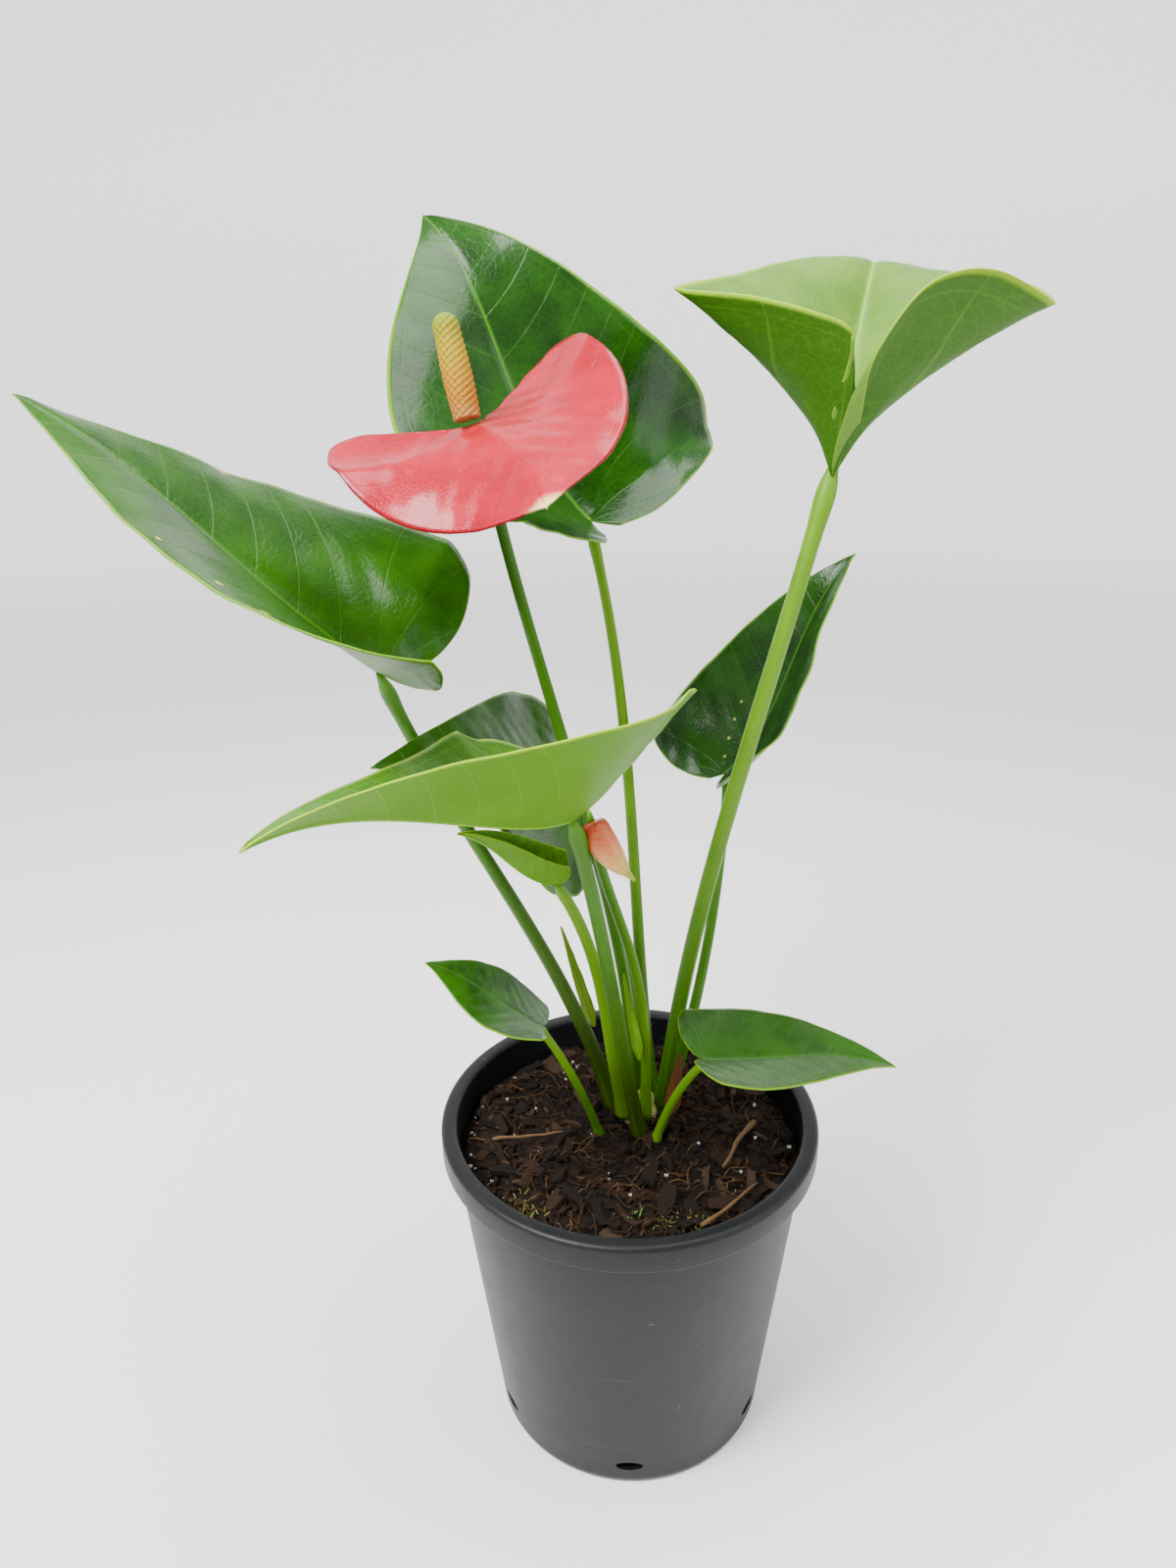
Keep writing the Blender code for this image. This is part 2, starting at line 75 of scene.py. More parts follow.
# Half outlines of a flat blade: along the midrib (lobe lengths behind the stalk), half widths.
heart = [(-0.45, 0.08), (-0.85, 0.28), (-1.0, 0.52), (-0.82, 0.82), (-0.3, 0.98),
         (0.1, 1.0), (0.32, 0.88), (0.55, 0.62), (0.76, 0.33), (0.91, 0.12), (1.0, 0.0)]
ovate = [(-0.6, 0.2), (-0.9, 0.45), (-0.8, 0.72), (-0.25, 0.93), (0.14, 1.0),
         (0.36, 0.92), (0.58, 0.68), (0.78, 0.36), (0.92, 0.12), (1.0, 0.0)]
kidney = [(-0.4, 0.16), (-0.8, 0.4), (-1.0, 0.64), (-0.86, 0.88), (-0.4, 1.0),
          (0.1, 0.98), (0.42, 0.8), (0.68, 0.52), (0.87, 0.22), (1.0, 0.0)]

blades = {
    "leaf_back": dict(
        outline=heart, joint=(-14, 74, 335), tip=(-76, 112, 442), roll=-9, arch=0.04,
        hook=0.1, sway=-0.05, width=0.58, skew=0.01, lobe=0.17, reach=0.22,
        fold=(22, 32), curl=(8, -33), tipFold=(-25, 38), tipCurl=(-30, 30), lift=(45, 35)),
    "leaf_left": dict(
        outline=heart, joint=(-77, -9, 299), tip=(-171, -22, 384), roll=-9, arch=0.02,
        hook=0.04, sway=-0.02, width=0.48, skew=0.03, lobe=0.13, reach=0.18,
        fold=(29, 44), curl=(8, -25), tipFold=(-12, -2), tipCurl=(-13, -24), lift=(23, 5)),
    "leaf_rear_right": dict(
        outline=heart, joint=(37, 52, 243), tip=(82, 62, 324), roll=20, arch=-0.02,
        hook=0.1, sway=-0.01, width=0.46, skew=0.07, lobe=0.14, reach=0.2,
        fold=(13, 31), curl=(-2, 24), tipFold=(18, 29), tipCurl=(29, -12), lift=(30, 30)),
    "leaf_front": dict(
        outline=heart, joint=(-16, -38, 262), tip=(-90, -112, 285), roll=46, arch=0.01,
        hook=0.08, sway=-0.04, width=0.48, skew=-0.06, lobe=0.28, reach=0.2,
        fold=(7, 60), curl=(1, 19), tipFold=(-5, 40), tipCurl=(-24, 23), lift=(23, 25)),
    "leaf_middle": dict(
        outline=heart, joint=(-23, 32, 242), tip=(-83, -12, 269), roll=-37, arch=0.12,
        hook=0.1, sway=-0.05, width=0.5, skew=0.07, lobe=0.2, reach=0.2,
        fold=(-20, -3), curl=(-19, 20), tipFold=(30, 13), tipCurl=(-20, -5), lift=(-20, -25)),
    "leaf_unrolling": dict(
        outline=ovate, joint=(-22, -24, 233), tip=(-52, -35, 256), roll=-9, arch=-0.02,
        hook=0.1, sway=0.0, width=0.29, skew=0.08, lobe=0.05, reach=0.2,
        fold=(70, 75), curl=(-6, 10), tipFold=(62, 64), tipCurl=(0, 9), lift=(0, 0)),
    "leaf_small_left": dict(
        outline=ovate, joint=(-30, -17, 175), tip=(-70, -13, 198), roll=-1, arch=0.04,
        hook=0.05, sway=0.0, width=0.42, skew=-0.03, lobe=0.04, reach=0.2,
        fold=(15, -10), curl=(21, -4), tipFold=(-20, 11), tipCurl=(-30, 21), lift=(5, -5)),
    "leaf_small_right": dict(
        outline=heart, joint=(26, -15, 161), tip=(94, -13, 157), roll=3, arch=0.03,
        hook=0.05, sway=-0.02, width=0.42, skew=0.03, lobe=0.1, reach=0.15,
        fold=(9, 26), curl=(-15, -5), tipFold=(4, 3), tipCurl=(24, -11), lift=(10, 26)),
    "spathe": dict(
        outline=kidney, joint=(-45, -2, 373), tip=(-21, -54, 355), roll=24, arch=0.04,
        hook=-0.01, sway=-0.04, width=0.76, skew=-0.03, lobe=0.39, reach=0.25,
        fold=(-22, -8), curl=(60, 36), tipFold=(-9, -38), tipCurl=(-35, -16), lift=(3, 21)),
}

funnelMidrib = [(63, 12, 355), (66, 20, 369), (74, 45, 394), (84, 76, 420), (89, 95, 415)]
funnelLeft = [(60, 2, 374), (62, -10, 392), (58, -12, 399), (36, -2, 406), (14, 26, 410),
              (33, 46, 415), (52, 62, 420), (70, 76, 422), (89, 95, 415)]
funnelRight = [(68, 0, 372), (69, -12, 391), (81, -17, 408), (101, -8, 411), (125, 14, 404),
               (123, 34, 410), (113, 52, 414), (100, 72, 417), (89, 95, 415)]
funnelCup = 0.06

# Finish of a leaf: two upper greens, underside, veins, margin, gloss, light let through,
# veins on each side of the midrib, and marks as (along, across, size, colour).
darkLeaf = dict(low=(0.003, 0.026, 0.0004), high=(0.01, 0.066, 0.0008), under=(0.045, 0.14, 0.004),
                vein=(0.035, 0.13, 0.003), margin=(0.16, 0.34, 0.004), gloss=0.24, glow=0.03,
                veins=8, wave=1.1, quilt=0.3, coat=0.22, marks=[])
midLeaf = dict(darkLeaf, low=(0.009, 0.052, 0.0006), high=(0.022, 0.1, 0.0015), glow=0.03)
youngLeaf = dict(low=(0.035, 0.13, 0.0015), high=(0.06, 0.19, 0.003), under=(0.085, 0.225, 0.005),
                 vein=(0.16, 0.34, 0.015), margin=(0.3, 0.5, 0.006), gloss=0.34, glow=0.06,
                 veins=8, wave=0.8, quilt=0.35, coat=0.05, marks=[])
yellow = (0.5, 0.55, 0.08)
orange = (0.75, 0.25, 0.05)
leafLooks = {
    "leaf_back": darkLeaf,
    "leaf_left": dict(midLeaf, marks=[(0.42, -0.3, 0.012, yellow), (0.32, -0.38, 0.015, yellow),
                                      (0.6, 0.27, 0.02, orange), (0.56, -0.24, 0.008, yellow)]),
    "leaf_rear_right": dict(darkLeaf, marks=[(0.12, -0.1, 0.01, yellow), (0.2, -0.13, 0.009, yellow),
                                             (0.28, -0.14, 0.008, yellow), (0.05, -0.06, 0.008, yellow)]),
    "leaf_front": dict(youngLeaf, wave=0.5),
    "leaf_middle": midLeaf,
    "leaf_unrolling": dict(youngLeaf, low=(0.07, 0.24, 0.001), high=(0.13, 0.36, 0.002), wave=0.2),
    "leaf_small_left": dict(midLeaf, wave=0.4, quilt=0.2),
    "leaf_small_right": dict(midLeaf, wave=0.5, quilt=0.25, low=(0.014, 0.065, 0.001), coat=0.1),
    "leaf_funnel": dict(youngLeaf, low=(0.09, 0.2, 0.018), high=(0.13, 0.26, 0.03),
                        under=(0.035, 0.12, 0.002)),
}
spatheLook = dict(low=(0.34, 0.0015, 0.014), high=(0.42, 0.003, 0.022), under=(0.42, 0.015, 0.02),
                  vein=(0.3, 0.001, 0.01), margin=(0.24, 0.0005, 0.006), cusp=(0.85, 0.6, 0.25),
                  gloss=0.2, glow=0.03, veins=5, wave=0.6, quilt=0.4, coat=0.3, marks=[])

# Foot, the two curve handles, head or the blade it carries, foot and head radius, colours.
green, olive, fresh = (0.04, 0.135, 0.001), (0.026, 0.05, 0.002), (0.1, 0.235, 0.001)
stalks = {
    "petiole_back": ((9, 27, 119.5), (0, 40, 198), (4, 66, 261), "leaf_back", 2.4, 1.8, green, fresh),
    "petiole_left": ((-6, 17, 119.5), (-24, 28, 179), (-67, 26, 236), "leaf_left", 3.0, 2.1, olive, green),
    "petiole_funnel": ((13, 14, 122.5), (23, 21, 209), (40, -10, 277), (64.5, 15.5, 361), 2.9, 2.6,
                        green, fresh),
    "petiole_rear_right": ((15, 21, 119.5), (30, 28, 164), (36, 46, 205), "leaf_rear_right", 2.2, 1.7,
                           green, green),
    "petiole_front": ((4, 1, 119.5), (-4, -12, 168), (-7, -26, 215), "leaf_front", 2.6, 2.3, olive, green),
    "petiole_middle": ((8, 20.5, 122.5), (1, 30, 194), (-12, 54, 205), "leaf_middle", 2.2, 1.6, green, green),
    "petiole_unrolling": ((-2, 9, 122.5), (-9, 0, 161), (-7, -14, 202), "leaf_unrolling", 2.4, 1.9,
                          fresh, fresh),
    "petiole_small_left": ((-11, 0, 119.5), (-17, -6, 140), (-22, -12, 157), "leaf_small_left", 1.6, 1.4,
                           green, fresh),
    "petiole_small_right": ((10, -2, 119.5), (14, -4, 132), (20, -9, 149), "leaf_small_right", 1.6, 1.4,
                            fresh, fresh),
    "flower_stalk": ((3, 16, 122.5), (0, 4, 221), (-28, -6, 284), "spathe", 2.2, 1.7, green, green),
    "bud_stalk": ((6, 7.5, 122.5), (9, 0, 201), (-8, -12, 212), (-12, -30, 261), 1.9, 1.6, fresh, green),
}

spadixShape = dict(foot=(-47.3, -1.0, 374.5), head=(-54.0, 6.0, 403.7), radius=4.4, bump=0.3)
spadixTones = [(0.0, (0.42, 0.17, 0.05)), (0.14, (0.4, 0.13, 0.003)), (0.35, (0.42, 0.18, 0.0)),
               (0.65, (0.38, 0.25, 0.0)), (1.0, (0.17, 0.24, 0.0))]
budShape = dict(foot=(-11.0, -32.0, 258.0), tip=(2.0, -37.0, 241.0), radius=5.0)
budTones = [(0.0, (0.66, 0.03, 0.03)), (0.35, (0.76, 0.13, 0.07)), (0.7, (0.75, 0.38, 0.12)),
            (1.0, (0.22, 0.38, 0.005))]

crownTones = [(0.0, (0.16, 0.1, 0.05)), (0.35, (0.5, 0.36, 0.2)), (0.62, (0.36, 0.42, 0.1)),
              (1.0, (0.24, 0.4, 0.05))]

sheaths = {
    "sheath_green": dict(foot=(4, 0.4, 150), tip=(-1.8, 0.4, 186), wide=2.0, tone=(0.16, 0.38, 0.006),
                         edge=(0.3, 0.4, 0.03)),
    "sheath_thin": dict(foot=(-12.5, -5, 168), tip=(-22.5, -16.5, 214), wide=2.2,
                        tone=(0.12, 0.24, 0.012), edge=(0.14, 0.06, 0.015)),
    "sheath_papery": dict(foot=(16, 7, 121), tip=(19.5, 7, 148), wide=3.2, tone=(0.2, 0.075, 0.03),
                          edge=(0.09, 0.03, 0.015)),
}


def shaded(tone, share):           # the same colour, darker or lighter
    return tuple(min(1.0, share * value) for value in tone)


class Field:                       # a shader socket that can take part in sums
    def __init__(self, graph, socket):
        self.graph = graph
        self.socket = socket

    def apply(self, operation, *others):
        return self.graph.add("ShaderNodeMath", {"operation": operation}, (self, *others))

    def __add__(self, other):
        return self.apply("ADD", other)

    def __radd__(self, other):
        return self.apply("ADD", other)

    def __sub__(self, other):
        return self.apply("SUBTRACT", other)

    def __rsub__(self, other):
        return self.graph.add("ShaderNodeMath", {"operation": "SUBTRACT"}, (other, self))

    def __mul__(self, other):
        return self.apply("MULTIPLY", other)

    def __rmul__(self, other):
        return self.apply("MULTIPLY", other)

    def __truediv__(self, other):
        return self.apply("DIVIDE", other)

    def __pow__(self, other):
        return self.apply("POWER", other)

    def step(self, low, high, start=0.0, end=1.0):       # eased from start to end over low..high
        settings = {"interpolation_type": "SMOOTHSTEP"}
        return self.graph.add("ShaderNodeMapRange", settings, (self, low, high, start, end))


class Graph:                       # the nodes of one material
    def __init__(self, name):
        self.material = bpy.data.materials.new(name)
        self.material.use_nodes = True
        self.tree = self.material.node_tree
        self.shader = self.tree.nodes["Principled BSDF"]
        self.output = self.tree.nodes["Material Output"]

    def feed(self, socket, value):
        if isinstance(value, Field):
            self.tree.links.new(value.socket, socket)
        elif isinstance(value, tuple) and len(socket.default_value) == 4:
            socket.default_value = (*value, 1.0)
        else:
            socket.default_value = value

    def add(self, kind, settings=None, inputs=(), output=0):
        node = self.tree.nodes.new(kind)
        for name, value in (settings or {}).items():
            setattr(node, name, value)
        pairs = inputs.items() if isinstance(inputs, dict) else enumerate(inputs)
        for key, value in pairs:
            self.feed(node.inputs[key], value)
        return Field(self, node.outputs[output])

    def mix(self, factor, first, second):
        return self.add("ShaderNodeMix", {"data_type": "RGBA"}, {0: factor, 6: first, 7: second}, 2)

    def uv(self, name):
        return self.add("ShaderNodeUVMap", {"uv_map": name})

    def split(self, vector, axis):
        return self.add("ShaderNodeSeparateXYZ", None, (vector,), axis)

    def place(self, scale=(1, 1, 1)):
        spot = self.add("ShaderNodeTexCoord", None, (), "Object")
        return self.add("ShaderNodeVectorMath", {"operation": "MULTIPLY"}, (spot, scale))

    def noise(self, vector, scale, detail=4.0, rough=0.55):
        return self.add("ShaderNodeTexNoise", None,
                        {"Vector": vector, "Scale": scale, "Detail": detail, "Roughness": rough})

    def cells(self, vector, scale, feature="F1", output="Distance"):
        return self.add("ShaderNodeTexVoronoi", {"feature": feature},
                        {"Vector": vector, "Scale": scale}, output)

    def ramp(self, factor, tones):
        node = self.tree.nodes.new("ShaderNodeValToRGB")
        stops = node.color_ramp.elements
        while len(stops) < len(tones):
            stops.new(0.5)
        for stop, (place, tone) in zip(stops, tones):
            stop.position = place
            stop.color = (*tone, 1.0)
        self.feed(node.inputs[0], factor)
        return Field(self, node.outputs[0])

    def bump(self, height, distance, strength=1.0):
        self.set(Normal=self.add("ShaderNodeBump", None, {"Height": height, "Distance": distance,
                                                          "Strength": strength}))

    def set(self, **values):
        for name, value in values.items():
            self.feed(self.shader.inputs[name.replace("_", " ")], value)

    def glow(self, colour, share):                       # light that comes through a thin sheet
        thin = self.add("ShaderNodeBsdfTranslucent", None, {"Color": colour})
        both = self.add("ShaderNodeMixShader", None, (share, Field(self, self.shader.outputs[0]), thin))
        self.tree.links.new(both.socket, self.output.inputs["Surface"])


def makeObject(name, mesh, materials):
    item = bpy.data.objects.new(name, mesh)
    bpy.context.scene.collection.objects.link(item)
    for entry in materials:
        mesh.materials.append(entry)
    mesh.shade_smooth()
    return item


def declare(item, slotName, *nodes):
    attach(item, "root")
    if nodes:
        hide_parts(*nodes)


def along(points, place):          # a point on a smooth curve through points, place 0 to 1
    spans = len(points) - 1
    index = min(int(place * spans), spans - 1)
    t = place * spans - index
    before = points[index - 1] if index else points[0] * 2 - points[1]
    after = points[index + 2] if index + 2 <= spans else points[-1] * 2 - points[-2]
    a, b = points[index], points[index + 1]
    return 0.5 * (2 * a + (b - before) * t + (2 * before - 5 * a + 4 * b - after) * t ** 2
                  + (3 * a - before - 3 * b + after) * t ** 3)


def bladeFrame(blade):
    joint = Vector(blade["joint"])
    chord = Vector(blade["tip"]) - joint
    ahead = chord.normalized()
    up = (Vector((0, 0, 1)) - ahead * ahead.z).normalized()
    side = ahead.cross(up)
    angle = math.radians(blade["roll"])
    normal = up * math.cos(angle) + side * math.sin(angle)
    return joint, chord.length, ahead, normal, ahead.cross(normal)


def flatPoint(blade, across, row):  # (along, across) on the flat blade, in blade lengths
    turn = 1 if across > 0 else -1
    edge = along([Vector(point) for point in blade["outline"]], row)
    edgeX = edge.x * (blade["lobe"] if edge.x < 0 else 1)
    edgeY = edge.y * blade["width"] * (1 + turn * blade["skew"])
    start = max(edgeX, 0) * (0.8 + 0.2 * max(edge.x, 0) ** 3)
    return start + (edgeX - start) * abs(across), edgeY * abs(across)


def bladePoint(blade, across, row):
    joint, length, ahead, normal, right = bladeFrame(blade)
    hand = 1 if across > 0 else 0
    turn = 1 if hand else -1
    halfWidth = blade["width"] * length
    x, y = (value * length for value in flatPoint(blade, across, row))

    # The midrib is an arch with a hooked end, which may sway sideways.
    u = min(max(x / length, 0), 1)
    arch = 4 * blade["arch"] + 8 * blade["hook"] * (u - 0.5)
    slope = (1 - 2 * u) * arch + 8 * blade["hook"] * u * (1 - u)
    veer = 4 * blade["sway"] * (1 - 2 * u)
    drift = 4 * blade["sway"] * u * (1 - u)
    spot = joint + (ahead * u + normal * u * (1 - u) * arch + right * drift) * length
    forward = (ahead + normal * slope + right * veer).normalized()
    sideways = (right - forward * right.dot(forward)).normalized()
    upward = sideways.cross(forward)

    # The lobes behind the joint bend up about a line across it.
    bend = math.radians(blade["lift"][hand]) or 0.001
    reach = blade["reach"] * length
    bent = min(max(-x, 0), reach)
    turned = bend * bent / reach
    straight = max(-x, 0) - bent
    back = reach / bend * math.sin(turned) + straight * math.cos(turned)
    raised = reach / bend * (1 - math.cos(turned)) + straight * math.sin(turned)
    spot += upward * raised - forward * back
    tilted = upward * math.cos(turned) + forward * math.sin(turned)

    # Each half folds up from the midrib, and curls on towards its margin.
    fold = math.radians(blade["fold"][hand] * (1 - u) + blade["tipFold"][hand] * u)
    curl = math.radians(blade["curl"][hand] * (1 - u) + blade["tipCurl"][hand] * u) or 0.001
    end = fold + curl * y / halfWidth
    out = halfWidth / curl * (math.sin(end) - math.sin(fold))
    lift = halfWidth / curl * (math.cos(fold) - math.cos(end))
    return spot + sideways * turn * out + tilted * lift


def funnelPoint(across, row):
    margin = funnelRight if across > 0 else funnelLeft
    edge = along([Vector(point) for point in margin], row)
    start = along([Vector(point) for point in funnelMidrib], max(0, row - 0.4) / 0.6)
    ray = edge - start
    away = ray.cross(Vector(funnelMidrib[-2]) - Vector(funnelMidrib[0])).normalized()
    if across > 0:
        away = -away
    cup = funnelCup * ray.length * 4 * abs(across) * (1 - abs(across))
    return start + ray * abs(across) - away * cup


def veinDepth(x, y, count):        # 1 on a lateral vein and 0 midway between two
    swept = (x - 0.5 * y - 0.9 * y * y) * count
    return 0.5 - 0.5 * math.cos(2 * math.pi * abs((swept % 1) - 0.5))


def bladeSheet(name, point, flat, look, materials, rows=84, columns=18, thick=0.55):
    work = bmesh.new()
    bmesh.ops.create_grid(work, x_segments=2 * columns, y_segments=rows, size=1.0)
    places = {}
    for vertex in work.verts:
        across, row = vertex.co.x, (vertex.co.y + 1) / 2
        across = math.copysign(abs(across) ** 0.85, across)
        x, y = flat(across, row)
        places[vertex.index] = (across, row, x, math.copysign(y, across))
        vertex.co = point(across, row) * mm
    work.normal_update()
    shifts = {}
    for vertex in work.verts:
        across, row, x, y = places[vertex.index]
        ripple = noise.noise(Vector((x * 5, y * 5, len(name))))
        ripple += 0.6 * noise.noise(Vector((x * 11, y * 11, 3)))
        shift = look["wave"] * ripple * abs(across) ** 2.5
        shift -= look["quilt"] * veinDepth(x, abs(y), look["veins"]) * min(1, abs(y) * 9) * (1 - across ** 4)
        shift -= look["quilt"] * 1.2 * math.exp(-(y / 0.012) ** 2) * (x > 0)
        shifts[vertex] = vertex.normal * shift * mm
    for layerName, pick in (("flat", (2, 3)), ("rim", (0, 1))):
        layer = work.loops.layers.uv.new(layerName)
        for face in work.faces:
            for loop in face.loops:
                place = places[loop.vert.index]
                loop[layer].uv = (place[pick[0]], place[pick[1]])
    for vertex, shift in shifts.items():
        vertex.co += shift
    bmesh.ops.remove_doubles(work, verts=work.verts, dist=0.00002)
    mesh = bpy.data.meshes.new(name + "_look")
    work.to_mesh(mesh)
    work.free()
    item = makeObject(name + "_look", mesh, materials)
    shell = item.modifiers.new("thickness", "SOLIDIFY")
    shell.thickness = thick * mm
    shell.offset = 0.0
    shell.material_offset = 1
    shell.material_offset_rim = 2
    return item


def veinFields(graph, look, width):
    flat = graph.uv("flat")
    x = graph.split(flat, 0)
    y = graph.split(flat, 1).apply("ABSOLUTE")
    swept = (x - 0.5 * y - 0.9 * y * y) * look["veins"]
    apart = ((swept.apply("FRACT") - 0.5).apply("ABSOLUTE") - 0.5).apply("ABSOLUTE") / look["veins"]
    lateral = apart.step(0.0, width, 1.0, 0.0) * swept.step(0.0, 0.6)
    turn = y.apply("ARCTAN2", x) / math.pi * 6.5 - y * 1.4
    spread = ((turn.apply("FRACT") - 0.5).apply("ABSOLUTE") - 0.5).apply("ABSOLUTE")
    reach = (x * x + y * y).apply("SQRT")
    basal = (spread * reach).step(0.0, width * 1.8, 1.0, 0.0) * swept.step(0.3, -0.4)
    midrib = (y + x * 0.004).step(width * 0.6, width * 2.6, 1.0, 0.0) * x.step(-0.02, 0.01)
    across = graph.split(graph.uv("rim"), 0).apply("ABSOLUTE")
    margin = across.step(0.965, 0.995)
    collective = (across - 0.9).apply("ABSOLUTE").step(0.0, 0.012, 1.0, 0.0) * 0.5
    side = lateral.apply("MAXIMUM", basal).apply("MAXIMUM", collective)
    return flat, x, y, side, midrib, margin, reach


def leafMaterials(name, look):
    made = []
    for side in ("upper", "under", "rim"):
        graph = Graph(f"{name}_{side}")
        flat, x, y, veins, midrib, margin, reach = veinFields(graph, look, 0.0045)
        cloud = graph.noise(flat, 4.0, 5.0)
        net = graph.cells(flat, 46.0, "DISTANCE_TO_EDGE")
        speck = graph.noise(flat, 160.0, 3.0)
        body = graph.mix(cloud.step(0.35, 0.65), look["low"], look["high"])
        if side != "upper":
            body = graph.mix(cloud.step(0.3, 0.7), shaded(look["under"], 0.85), look["under"])
        if side == "rim":
            body = graph.mix(cloud, look["margin"], look["vein"])
        strength = 0.3 if side == "upper" else 0.25
        body = graph.mix(net.step(0.0, 0.08, 0.12, 0.0), body, look["vein"])
        body = graph.mix(veins * strength, body, look["vein"])
        body = graph.mix(midrib * 0.85, body, shaded(look["vein"], 1.25))
        body = graph.mix(margin * 0.75, body, look["margin"])
        if "cusp" in look:
            body = graph.mix(x.step(0.9, 0.98), body, look["cusp"])
            body = graph.mix(reach.step(0.0, 0.1, 0.6, 0.0), body, (0.5, 0.05, 0.045))
        signed = graph.split(flat, 1)
        for markX, markY, size, tone in look["marks"]:
            away = ((x - markX) ** 2.0 + (signed - markY) ** 2.0).apply("SQRT") + (speck - 0.5) * size
            body = graph.mix(away.step(size * 0.3, size, 0.9, 0.0), body, tone)
        rough = look["gloss"] if side == "upper" else look["gloss"] + 0.16
        graph.set(Base_Color=body, Roughness=rough + (cloud - 0.5) * 0.14 + (speck - 0.5) * 0.1)
        graph.set(Specular_IOR_Level=0.14)
        if side == "upper":
            graph.set(Coat_Weight=look["coat"], Coat_Roughness=0.16)
        sign = -1.0 if side == "upper" else 1.0
        height = veins * 0.5 * sign + midrib * sign + net.step(0.0, 0.25) * 0.25 + speck * 0.12
        graph.bump(height, 0.00018)
        graph.glow(body, look["glow"])
        made.append(graph.material)
    return made


def flatOfFunnel(across, row):
    return flatPoint(dict(outline=heart, lobe=0.2, width=0.5, skew=0.0), across, row)


def makeBlades():
    slots = {"leaf_back": "leaf_dark", "leaf_left": "leaf_dark", "leaf_rear_right": "leaf_dark",
             "leaf_front": "leaf_young", "leaf_unrolling": "leaf_young", "spathe": "spathe_pink"}
    for name, blade in blades.items():
        look = leafLooks.get(name, spatheLook)
        item = bladeSheet(name, lambda across, row: bladePoint(blade, across, row),
                          lambda across, row: flatPoint(blade, across, row), look,
                          leafMaterials(name, look))
        declare(item, slots.get(name, "leaf_mid"), name)
    look = leafLooks["leaf_funnel"]
    funnel = bladeSheet("leaf_funnel", funnelPoint, flatOfFunnel, look, leafMaterials("leaf_funnel", look))
    declare(funnel, "leaf_young", "leaf_funnel")
    print("blades made")


def tube(name, centres, radii, materials, sides=20):       # a closed tube with its own length as UV
    work = bmesh.new()
    layer = work.loops.layers.uv.new("run")
    rings = []
    side = Vector((1, 0, 0))
    for index, centre in enumerate(centres):
        ahead = centres[min(index + 1, len(centres) - 1)] - centres[max(index - 1, 0)]
        side = (side - ahead.normalized() * side.dot(ahead.normalized())).normalized()
        up = ahead.normalized().cross(side)
        ring = []
        for step in range(sides):
            angle = 2 * math.pi * step / sides
            out = side * math.cos(angle) + up * math.sin(angle)
            ring.append(work.verts.new((centre + out * radii(index, angle)) * mm))
        rings.append(ring)
    for index in range(len(rings) - 1):
        for step in range(sides):
            after = (step + 1) % sides
            face = work.faces.new((rings[index][step], rings[index][after],
                                   rings[index + 1][after], rings[index + 1][step]))
            corners = ((step, index), (step + 1, index), (step + 1, index + 1), (step, index + 1))
            for loop, (turn, ring) in zip(face.loops, corners):
                loop[layer].uv = (turn / sides, ring / (len(rings) - 1))
    work.faces.new(list(reversed(rings[0])))
    work.faces.new(rings[-1])
    mesh = bpy.data.meshes.new(name)
    work.to_mesh(mesh)
    work.free()
    return makeObject(name, mesh, materials)


def stalkMaterial(name, low, high):
    graph = Graph(name)
    run = graph.uv("run")
    height = graph.split(run, 1)
    place = graph.place()
    stretched = graph.add("ShaderNodeVectorMath", {"operation": "MULTIPLY"}, (run, (26, 3, 1)))
    streak = graph.noise(stretched, 1.0, 4.0)
    blotch = graph.noise(place, 55.0, 4.0)
    speck = graph.cells(place, 900.0)
    body = graph.mix(height.step(0.05, 0.75), low, high)
    body = graph.mix(streak.step(0.45, 0.75) * 0.4, body, shaded(high, 1.6))
    body = graph.mix(blotch.step(0.5, 0.72) * 0.3, body, shaded(low, 0.6))
    body = graph.mix(speck.step(0.1, 0.25, 0.25, 0.0), body, (0.12, 0.28, 0.03))
    body = graph.mix(height.step(0.95, 0.99) * 0.5, body, (0.1, 0.28, 0.01))
    graph.set(Base_Color=body, Roughness=0.4 + (blotch - 0.5) * 0.2, Specular_IOR_Level=0.22)
    graph.bump(streak * 0.6 + speck * 0.2, 0.00025)
    return graph.material


def makeStalks():
    for name, (foot, low, high, head, footRadius, headRadius, lowTone, highTone) in stalks.items():
        if head in blades:
            joint, _, ahead, normal, _ = bladeFrame(blades[head])
            head = joint + ahead * 1.5 - normal * 0.4
        count = 72
        handles = [Vector(foot), Vector(low), Vector(high), Vector(head)]
        handles[0].z -= 3.5                              # rooted in the crown or the mix
        centres = geometry.interpolate_bezier(*handles, count)
        young = name in ("petiole_unrolling", "bud_stalk", "flower_stalk")

        def radius(index, angle):
            t = index / (count - 1)
            plain = footRadius + (headRadius - footRadius) * t
            plain *= 1 + 0.35 * math.exp(-(t / 0.05) ** 2)
            plain *= 1 + (0.0 if young else 0.22) * math.exp(-((t - 0.955) / 0.03) ** 2)
            groove = 0.05 * math.cos(angle) + 0.03 * math.cos(2 * angle + 1)
            return plain * (1 + groove) * (1 - 0.6 * max(0, t - 0.965) / 0.035)

        item = tube(name + "_look", centres, radius, [stalkMaterial(name, lowTone, highTone)])
        declare(item, "stalk_green", name)
    print("stalks made")


